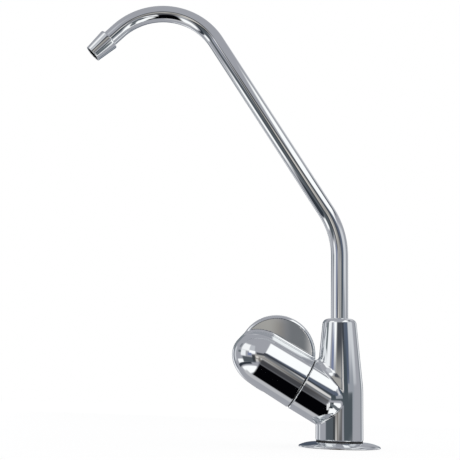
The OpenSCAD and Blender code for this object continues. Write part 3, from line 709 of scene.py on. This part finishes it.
# Spout tube: one swept wall, with its path in the plane of the column and the barrel
spout = {"outer": 4.995, "inner": 4.0, "footZ": 57.38, "riseZ": 109.4, "lowR": 50.0, "lean": 33.0,
         "slope": 126.0, "topR": 39.0, "topAngle": 103.0, "tip": 13.0, "around": 128}


def spoutPath():
    s = spout
    runs = [(s["riseZ"] - s["footZ"], 24, 0, 0), (0, 22, s["lowR"], s["lean"]), (s["slope"], 40, 0, 0),
            (0, 52, s["topR"], s["topAngle"]), (s["tip"], 6, 0, 0)]
    y, z, heading = 0.0, s["footZ"], 0.0
    path = [(y, z, heading)]
    for length, steps, radius, turn in runs:
        for _ in range(steps):
            if radius:
                step = math.radians(turn) / steps
                reach = 2 * radius * math.sin(step / 2)
                y -= reach * math.sin(heading + step / 2)
                z += reach * math.cos(heading + step / 2)
                heading += step
            else:
                y -= length / steps * math.sin(heading)
                z += length / steps * math.cos(heading)
            path.append((y, z, heading))
    return path


def makeTube():
    path = np.array(spoutPath())
    around = spout["around"]
    turn = np.linspace(0, 2 * math.pi, around, endpoint=False)
    right = np.array([1.0, 0, 0])
    points, normals = [], []
    for radius, way in ((spout["outer"], 1), (spout["inner"], -1)):
        for y, z, heading in path:
            up = np.array([0, -math.cos(heading), -math.sin(heading)])
            out = np.outer(np.cos(turn), right) + np.outer(np.sin(turn), up)
            points.append(np.array([0, y, z]) + out * radius)
            normals.append(out * way)
    points, normals = np.concatenate(points), np.concatenate(normals)
    rows = len(path)
    inner = rows * around
    faces, corners = [], []
    for row in range(rows - 1):
        for k in range(around):
            m = (k + 1) % around
            wall = [row * around + k, (row + 1) * around + k, (row + 1) * around + m, row * around + m]
            for face in (wall, [inner + i for i in reversed(wall)]):
                faces.append(face)
                corners += [normals[i] for i in face]
    for row, flip in ((0, True), (rows - 1, False)):
        heading = path[row][2]
        along = np.array([0, -math.sin(heading), math.cos(heading)]) * (-1 if flip else 1)
        for k in range(around):
            m = (k + 1) % around
            face = [row * around + k, inner + row * around + k, inner + row * around + m, row * around + m]
            faces.append(face[::-1] if flip else face)
            corners += [along] * 4
    finishPiece(polyMesh("spoutTube", points * mm, faces, corners), "spout", "chrome", "spout_tube")


makeTube()
y, z, heading = spoutPath()[-1]
alongTip = Matrix.Translation((0, y, z)) @ Matrix.Rotation(heading, 4, "X")

# Nozzle, turned, with rounded rims; its heights count from where the tube ends inside it
nozzle = {"lap": 5.0, "length": 14.2, "bigR": 6.65, "smallR": 5.3, "boreR": 4.4, "tubeR": 5.03,
          "pocketR": 4.7, "pocketLen": 2.26, "backRim": 0.7, "tipRim": 0.35, "boreRim": 0.25,
          "sideFrom": 0.75, "sideShort": 1.4, "slip": 0.03, "lead": 0.02, "leadLen": 0.1}


def makeNozzle():
    n = nozzle
    low, high = -n["lap"], n["length"] - n["lap"]
    big, small = n["bigR"], n["smallR"]
    back, tip, inner = n["backRim"], n["tipRim"], n["boreRim"]
    profile = [(n["tubeR"] + n["lead"], low)] + arc((big - back, low + back), back, -90, -6, 8)
    profile += [(big - (big - small) * share, low + n["sideFrom"] + (n["length"] - n["sideShort"]) * share)
                for share in (0.05, 0.5, 0.97)]
    profile += arc((small - tip, high - tip), tip, 0, 90, 6)
    profile += arc((n["boreR"] + inner, high - inner), inner, 90, 180, 4)
    profile += [(n["boreR"], n["pocketLen"]), (n["pocketR"], n["pocketLen"]), (n["pocketR"], n["slip"]),
                (n["tubeR"], n["slip"]), (n["tubeR"], low + n["leadLen"])]
    finishPiece(turned("spoutNozzle", profile, alongTip, 160), "spout", "chrome", "nozzle")


makeNozzle()

# Cover plate: a pressed cap with a domed top and a rolled rim
plate = {"radius": 23.0, "topZ": 3.2, "rimH": 0.9, "lift": 0.25, "wall": 1.0, "land": 14.3, "bore": 5.67,
         "domeInset": 0.35, "rimR": 0.45, "rimFrom": 35}


def makePlate():
    p = plate
    drop = p["topZ"] - p["lift"] - p["rimH"]
    run = p["radius"] - p["land"]
    dome = (run ** 2 + drop ** 2) / (2 * drop)
    reach = math.degrees(math.asin((run - p["domeInset"]) / dome))
    profile = [(p["bore"], p["topZ"]), (p["land"], p["topZ"])]
    profile += arc((p["land"], p["topZ"] - dome), dome, 90, 90 - reach, 24)[1:]
    rim = p["rimR"]
    profile += arc((p["radius"] - rim, p["lift"] + rim), rim, p["rimFrom"], -90, 10)
    inside = p["radius"] - p["wall"]
    profile += [(inside, p["lift"]), (inside - p["wall"], p["rimH"])]
    profile += [(p["land"], p["topZ"] - p["wall"]), (p["bore"], p["topZ"] - p["wall"])]
    finishPiece(turned("coverPlate", profile[::-1], around=192), "column", "chrome", "cover_plate")


makePlate()

# Threaded shank: the grid's rows follow the thread's own corners, so that its crests stay sharp.
# crest, flank and root are shares of the pitch
shank = {"radius": 5.55, "pitch": 1.06, "depth": 0.65, "crest": 0.125, "flank": 0.3125, "root": 0.25,
         "lowZ": -52.0, "highZ": -1.0, "runOut": 1.5, "endR": 4.75, "topZ": 14.2, "topChamfer": 0.3,
         "boreR": 2.6, "pocketR": 3.25, "pocketLen": 7.0, "coneR": 4.11, "coneLen": 1.6, "around": 64,
         "weld": 0.002}
cornersPerTurn = 4


def threadNodes(tree, base, sizes):
    rows = sizes["turns"] * cornersPerTurn
    grid = tree.node("GeometryNodeMeshGrid", {}, {
        "Size X": 1.0, "Size Y": 1.0, "Vertices X": sizes["around"] + 1, "Vertices Y": rows + 1})
    place = tree.node("GeometryNodeInputPosition")
    spot = tree.node("ShaderNodeSeparateXYZ", {}, {0: place})
    across = spot + 0.5
    along = Wire(tree, spot.socket.node.outputs[1]) + 0.5
    row = tree.calc("ROUND", along * rows) - cornersPerTurn
    whole = tree.calc("FLOOR", row / cornersPerTurn)
    corner = row - whole * cornersPerTurn
    low = tree.clamp(corner - 1)
    rise = tree.clamp(corner) * sizes["crest"] + low * sizes["flank"]
    rise = rise + tree.clamp(corner - 2) * sizes["root"]
    height = (whole + rise + across) * sizes["pitch"] + sizes["lowZ"]
    height = tree.clamp(height, sizes["lowZ"], sizes["highZ"])
    fade = tree.clamp((sizes["highZ"] - height) / sizes["runOut"])
    radius = sizes["radius"] - low * fade * sizes["depth"]
    radius = tree.calc("MINIMUM", radius, height - sizes["lowZ"] + sizes["endR"])
    turn = across * (2 * math.pi)
    where = tree.vector(radius * tree.calc("COSINE", turn), radius * tree.calc("SINE", turn), height)
    thread = tree.node("GeometryNodeSetPosition", {}, {"Geometry": grid, "Position": where})
    return tree.node("GeometryNodeMergeByDistance", {}, {
        "Geometry": tree.join(thread, base), "Distance": sizes["weld"]})


def makeShank():
    s = shank
    pocketTop = s["lowZ"] + s["pocketLen"]
    profile = [(s["radius"], s["highZ"]), (s["radius"], s["topZ"] - s["topChamfer"]),
               (s["radius"] - s["topChamfer"], s["topZ"]), (s["boreR"], s["topZ"]), (s["boreR"], pocketTop),
               (s["pocketR"], pocketTop), (s["pocketR"], s["lowZ"] + s["coneLen"]), (s["coneR"], s["lowZ"]),
               (s["endR"], s["lowZ"])]
    inMetres = ("radius", "pitch", "depth", "lowZ", "highZ", "runOut", "endR", "weld")
    sizes = {key: s[key] * mm for key in inMetres}
    sizes.update({key: s[key] for key in ("crest", "flank", "root", "around")})
    sizes["turns"] = math.ceil((s["highZ"] - s["lowZ"]) / s["pitch"]) + 2
    piece = turned("deckShank", profile, around=s["around"], ring=False)
    finishPiece(grown(piece, sizes, "brass", threadNodes), "column", "brass", "threaded_shank")


makeShank()

# Clamp washer: a moulded hub and flange, with round-edged ribs between them
clampRing = {"radius": 15.0, "hubR": 9.3, "boreR": 5.67, "lowZ": -24.0, "flangeZ": -22.2, "highZ": -20.0,
             "ribs": 8, "ribWide": 1.8, "ribTall": 2.2, "ribZ": -22.0, "ribStart": 8.8, "ribEnd": 13.2,
             "round": 0.35, "steps": 5}


def ribNodes(tree, base, sizes):
    line = tree.node("GeometryNodeCurvePrimitiveLine", {}, {
        "Start": tree.vector(sizes["ribStart"], 0.0, sizes["ribZ"]),
        "End": tree.vector(sizes["ribEnd"], 0.0, sizes["ribZ"])})
    line = tree.node("GeometryNodeSetCurveNormal", {"mode": "Z_UP"}, {"Curve": line})
    frameCurve = tree.node("GeometryNodeCurvePrimitiveQuadrilateral", {}, {
        "Width": sizes["ribWide"], "Height": sizes["ribTall"]})
    frameCurve = tree.node("GeometryNodeFilletCurve", {"mode": "POLY"}, {
        "Curve": frameCurve, "Radius": sizes["round"], "Count": 4, "Limit Radius": True})
    rib = tree.node("GeometryNodeCurveToMesh", {}, {
        "Curve": line, "Profile Curve": frameCurve, "Fill Caps": True})
    return tree.join(tree.around(rib, sizes["ribs"]), base)


def makeClampRing():
    c = clampRing
    soft, steps = c["round"], c["steps"]
    profile = arc((c["hubR"] - soft, c["lowZ"] + soft), soft, -90, 0, steps)
    profile += arc((c["hubR"] + soft, c["flangeZ"] - soft), soft, 180, 90, steps)
    profile += outerSide(c["radius"], c["flangeZ"], c["highZ"], soft, steps)
    profile += innerSide(c["boreR"], c["lowZ"], c["highZ"], soft, steps)
    sizes = {key: c[key] * mm for key in ("ribWide", "ribTall", "ribZ", "ribStart", "ribEnd", "round")}
    sizes["ribs"] = c["ribs"]
    piece = turned("ribbedClamp", profile, around=128)
    finishPiece(grown(piece, sizes, "black_plastic", ribNodes), "column", "black_plastic", "clamp_washer")


makeClampRing()

# Lock washer: a thin ring whose teeth twist out of its plane
lockRing = {"teeth": 12, "tipR": 9.3, "rootR": 7.3, "ringR": 7.7, "boreR": 5.67, "midZ": -24.4,
            "thick": 0.4, "wide": 2.6, "twist": 8.5, "edge": 0.1, "steps": 3}


def toothNodes(tree, base, sizes):
    block = tree.node("GeometryNodeMeshCube", {}, {
        "Size": (1, 1, 1), "Vertices X": 6, "Vertices Y": 4, "Vertices Z": 2})
    place = tree.node("ShaderNodeSeparateXYZ", {}, {0: tree.node("GeometryNodeInputPosition")})
    share = place + 0.5
    wide, tall = (Wire(tree, place.socket.node.outputs[i]) for i in (1, 2))
    reach = sizes["rootR"] + share * (sizes["tipR"] - sizes["rootR"])
    wide = wide * sizes["wide"] * reach / sizes["tipR"]
    tall = tall * sizes["thick"]
    lean = share * sizes["twist"]
    cosine, sine = tree.calc("COSINE", lean), tree.calc("SINE", lean)
    where = tree.vector(reach, wide * cosine - tall * sine, wide * sine + tall * cosine + sizes["midZ"])
    tooth = tree.node("GeometryNodeSetPosition", {}, {"Geometry": block, "Position": where})
    return tree.join(tree.around(tooth, sizes["teeth"]), base)


def makeLockRing():
    w = lockRing
    low, high = w["midZ"] - w["thick"] / 2, w["midZ"] + w["thick"] / 2
    profile = outerSide(w["ringR"], low, high, w["edge"], w["steps"])
    profile += innerSide(w["boreR"], low, high, w["edge"], w["steps"])
    sizes = {key: w[key] * mm for key in ("tipR", "rootR", "midZ", "thick", "wide")}
    sizes.update({"teeth": w["teeth"], "twist": math.radians(w["twist"])})
    piece = turned("toothedWasher", profile, around=128)
    finishPiece(grown(piece, sizes, "steel", toothNodes), "column", "steel", "lock_washer")


makeLockRing()
print("stage 3: pieces made")

# Camera, matched to the photograph's frame
photoView = {"place": (0.48852, -0.06497, 0.02399), "pitch": 11.52, "roll": 1.58, "lens": 65.84,
             "sensor": 36, "near": 0.01, "far": 20}
pitch, roll = math.radians(photoView["pitch"]), math.radians(photoView["roll"])
right = Vector((0, 1, 0))
ahead = Vector((-math.cos(pitch), 0, math.sin(pitch)))
above = Vector((math.sin(pitch), 0, math.cos(pitch)))
tiltRight = right * math.cos(roll) + above * math.sin(roll)
tiltUp = above * math.cos(roll) - right * math.sin(roll)
cameraData = bpy.data.cameras.new("photoCamera")
cameraData.lens = photoView["lens"]
cameraData.sensor_width = photoView["sensor"]
cameraData.clip_start, cameraData.clip_end = photoView["near"], photoView["far"]
camera = bpy.data.objects.new("photoCamera", cameraData)
scene.collection.objects.link(camera)
camera.matrix_world = Matrix.Translation(photoView["place"]) @ Matrix(
    (tiltRight, tiltUp, -ahead)).transposed().to_4x4()
scene.camera = camera

# Floor: matt, and lifted towards white for the camera, so that it keeps a faint shadow
floorLook = {"half": 3.0, "tones": ((0.88, 0.88, 0.885), (0.86, 0.86, 0.87)), "cloud": (40, 3, 0.5),
             "roughness": 0.6, "glow": 1.07, "glowShare": 0.8}


def makeFloor():
    half = floorLook["half"]
    floor = polyMesh("worktop", [(-half, -half, 0), (half, -half, 0), (half, half, 0), (-half, half, 0)],
                     [(0, 1, 2, 3)])
    made = bpy.data.materials.new("paleWorktop")
    made.use_nodes = True
    tree = Tree(made.node_tree)
    shader = made.node_tree.nodes["Principled BSDF"]
    where = tree.node("ShaderNodeTexCoord", out=3)
    first, second = floorLook["tones"]
    tone = tree.mix(tree.noise(where, *floorLook["cloud"]), (*first, 1), (*second, 1))
    links = made.node_tree.links
    links.new(tone.socket, shader.inputs["Base Color"])
    shader.inputs["Roughness"].default_value = floorLook["roughness"]
    glow = tree.node("ShaderNodeEmission", {}, {"Color": (1, 1, 1, 1), "Strength": floorLook["glow"]})
    seen = tree.node("ShaderNodeLightPath")
    both = tree.node("ShaderNodeMixShader", {}, {0: seen * floorLook["glowShare"]})
    links.new(shader.outputs[0], both.socket.node.inputs[1])
    links.new(glow.socket, both.socket.node.inputs[2])
    links.new(both.socket, made.node_tree.nodes["Material Output"].inputs["Surface"])
    floor.data.materials.append(made)
    floor.visible_glossy = False


makeFloor()

# A soft tent hung with cards, which only the polish sees. Its middle is off to the side, so that
# the right wall is near and the left one far. Angles are in degrees from the eye point: across and up.
# The tipped cards lie along the barrel.
tent = {"middle": (0.2, -0.7, -0.25), "radius": 1.2, "fineness": 5, "eye": (0, -0.03, 0.055),
        "tip": 60.0, "cloth": (0.396, 0.4, 0.437)}
paper = (1.15, 1.15, 1.15)  # the brightest cards
# name, frame, across, half width, up, half height, soft sides, soft top, tilt, tone
studioCards = [
    ("sideLine", "level", 117, 4, 2, 24, 4, 8, 0, (0.226, 0.25, 0.272)),
    ("sideBox", "level", 134, 7, 2, 20, 5, 8, 0, (0.884, 0.888, 0.913)),
    ("backLine", "level", 150, 5, 0, 22, 4, 8, 0, (0.103, 0.124, 0.152)),
    ("backWhite", "level", 160, 7, -6, 12, 5, 8, 0, (0.355, 0.384, 0.424)),
    ("farWhite", "level", -152, 11, 0, 22, 6, 8, 0, (0.902, 0.906, 0.94)),
    ("farLine", "level", -134, 4, 0, 22, 4, 8, 0, (0.124, 0.147, 0.178)),
    ("farSoft", "level", -120, 6, 6, 16, 5, 8, 0, (0.672, 0.683, 0.713)),
    ("backBox", "level", 158, 34, 46, 13, 16, 8, 0, (0.71, 0.714, 0.744)),
    ("rightBox", "tipped", 54, 27, -5.5, 10.5, 6, 4, 0, paper),
    ("barrelFlag", "tipped", 31, 14, -12, 12, 5, 5, -0.85, (0.119, 0.141, 0.192)),
    ("rootDark", "tipped", 88, 7, -14, 5, 4, 3, 0, (0.034, 0.046, 0.066)),
    ("creaseLine", "tipped", 20, 6, -2, 10, 4, 4, 0, (0.053, 0.059, 0.074)),
    ("rightMid", "level", 68, 18, 20, 13, 10, 8, 0, (0.71, 0.721, 0.752)),
    ("rightSoft", "level", 54, 14, 3, 8, 10, 6, 0, (0.344, 0.363, 0.402)),
    ("rightFlag", "level", 26, 11, 4, 10, 6, 5, 0, (0.067, 0.086, 0.101)),
    ("flagSide", "level", 40, 6, 13, 4, 6, 4, 0, (0.103, 0.129, 0.185)),
    ("leftBoxTop", "level", -65, 19, 35, 13, 8, 8, 0, (1.072, 1.065, 1.073)),
    ("leftBoxEdge", "level", -37, 10, 37, 11, 6, 6, 0, (0.585, 0.595, 0.631)),
    ("leftLine", "level", -96, 5, 34, 7, 4, 5, 0, (0.226, 0.241, 0.264)),
    ("leftDark", "level", -90, 9, 14.5, 3.5, 4, 3, 0, (0.161, 0.187, 0.2)),
    ("leftBoxSide", "level", -72, 11, 12, 10, 6, 6, 0, (1.013, 1.017, 1.034)),
    ("leftWhite", "level", -36, 11, 20, 6, 4, 4, 0, paper),
    ("blueSpot", "level", -45, 7, 11, 5, 4, 4, 0, (0.218, 0.25, 0.38)),
    ("frontDim", "level", -12, 17, -1, 11, 4, 4, 0, (0.251, 0.233, 0.219)),
    ("frontWarm", "level", -12, 15, 9.5, 6.5, 4, 4, 0, (0.42, 0.406, 0.385)),
    ("frontGrey", "level", 8.5, 4, 7, 9, 3, 5, 0, (0.188, 0.195, 0.207)),
    ("frontLight", "level", 12.5, 3, 8, 6, 3, 4, 0, (0.782, 0.753, 0.737)),
    ("frontGlint", "level", -5, 5, -1.5, 3.5, 4, 3, 0, (0.975, 0.951, 0.922)),
    ("topStripe", "level", -7, 14, 18, 4.5, 4, 4, 0, (0.075, 0.079, 0.092)),
    ("leftBand", "level", -52, 24, -9, 9, 8, 5, 0, (0.098, 0.113, 0.128)),
    ("leftPost", "level", -32, 5, -2, 12, 4, 6, 0, (0.053, 0.059, 0.066)),
    ("spotA", "level", -20, 4, 4, 4, 4, 4, 0, (0.79, 0.745, 0.698)),
    ("spotB", "level", -22, 4, -8, 5, 4, 4, 0, (0.642, 0.624, 0.602)),
    ("leftMid", "level", -90, 14, -14, 5, 8, 4, 0, paper),
    ("darkLine", "level", -78, 34, -22.5, 3.5, 8, 3, 0.06, (0.034, 0.043, 0.055)),
    ("leftLow", "level", -65, 35, -41, 11, 12, 5, 0, paper),
    ("rootWhite", "level", 40, 34, -30, 14, 8, 6, 0, paper),
    ("lowFlag", "level", 38, 21, -4, 3.5, 6, 4, 0, (0.084, 0.102, 0.117)),
    ("backDark", "level", 186, 16, 11, 17, 8, 8, 0, (0.075, 0.093, 0.128)),
    ("plateDim", "level", -148, 14, 24, 14, 8, 8, 0, (0.234, 0.258, 0.281)),
    ("frontDark", "tipped", -14, 14, -2, 8, 18, 10, 0, (0.063, 0.063, 0.07)),
    ("lowBlack", "tipped", -57, 31, -22, 26, 5, 5, 0, (0.001, 0.001, 0.002)),
    ("whitePost", "level", 3, 5, -34, 13, 3, 4, 0, (0.902, 0.897, 0.904)),
    ("lowWhiteR", "level", 45, 34, -52, 16, 10, 8, 0, paper),
    ("nozzleDark", "level", 20, 8, -27, 12, 4, 4, 0, (0.025, 0.037, 0.045)),
    ("lowBand", "level", 40, 28, -33, 6, 6, 4, -0.4, (0.148, 0.167, 0.185)),
    ("lowWhiteL", "tipped", -97, 10, 0, 20, 8, 8, 0, (0.557, 0.554, 0.575)),
]


def makeTent():
    work = bmesh.new()
    bmesh.ops.create_icosphere(work, subdivisions=tent["fineness"], radius=tent["radius"],
                               matrix=Matrix.Translation(tent["middle"]))
    bmesh.ops.reverse_faces(work, faces=work.faces)
    mesh = bpy.data.meshes.new("softTent")
    work.to_mesh(mesh)
    work.free()
    wall = bpy.data.objects.new("softTent", mesh)
    scene.collection.objects.link(wall)
    made = bpy.data.materials.new("tentCards")
    made.use_nodes = True
    tree = Tree(made.node_tree)
    where = tree.node("ShaderNodeTexCoord", out=3)
    gaze = tree.node("ShaderNodeVectorMath", {"operation": "SUBTRACT"}, {0: where, 1: tent["eye"]})
    gaze = tree.node("ShaderNodeVectorMath", {"operation": "NORMALIZE"}, {0: gaze})
    angles = {}
    for name, lean in (("level", 0.0), ("tipped", tent["tip"])):
        cosine, sine = math.cos(math.radians(lean)), math.sin(math.radians(lean))
        side = tree.dot(gaze, (0, cosine, sine))
        rise = tree.dot(gaze, (0, -sine, cosine))
        front = tree.dot(gaze, (1, 0, 0))
        angles[name] = (tree.calc("DEGREES", tree.calc("ARCTAN2", side, front)),
                        tree.calc("DEGREES", tree.calc("ARCSINE", rise)))

    # 1 on a card and 0 beyond its soft edge
    def onCard(angle, half, soft):
        return tree.ramp(tree.calc("ABSOLUTE", angle), half - soft / 2, half + soft / 2, 1.0, 0.0)

    tone = (*tent["cloth"], 1)
    for name, view, across, halfWide, up, halfHigh, softSide, softTop, tilt, shine in studioCards:
        off = tree.calc("WRAP", angles[view][0] - across, 180.0, -180.0)
        rise = angles[view][1] - up
        if tilt:
            rise = rise - off * tilt
        share = onCard(off, halfWide, softSide) * onCard(rise, halfHigh, softTop)
        tone = tree.mix(share, tone, (*shine, 1))
    glow = tree.node("ShaderNodeEmission", {}, {"Color": tone, "Strength": 1.0})
    made.node_tree.links.new(glow.socket, made.node_tree.nodes["Material Output"].inputs["Surface"])
    made.cycles.emission_sampling = "NONE"
    wall.data.materials.append(made)
    wall.visible_camera = wall.visible_diffuse = wall.visible_shadow = False


makeTent()

# The sky lights the tap evenly; the camera sees it as white
light = {"level": 0.9, "seen": 1.0}


def makeWorld():
    world = bpy.data.worlds.new("studio")
    scene.world = world
    world.use_nodes = True
    tree = Tree(world.node_tree)
    back = world.node_tree.nodes["Background"]
    back.inputs["Color"].default_value = (1, 1, 1, 1)
    seen = tree.node("ShaderNodeLightPath")
    world.node_tree.links.new(
        (seen * (light["seen"] - light["level"]) + light["level"]).socket, back.inputs["Strength"])


makeWorld()
scene.view_settings.view_transform = "Standard"
print("stage 4: camera, floor and light set")
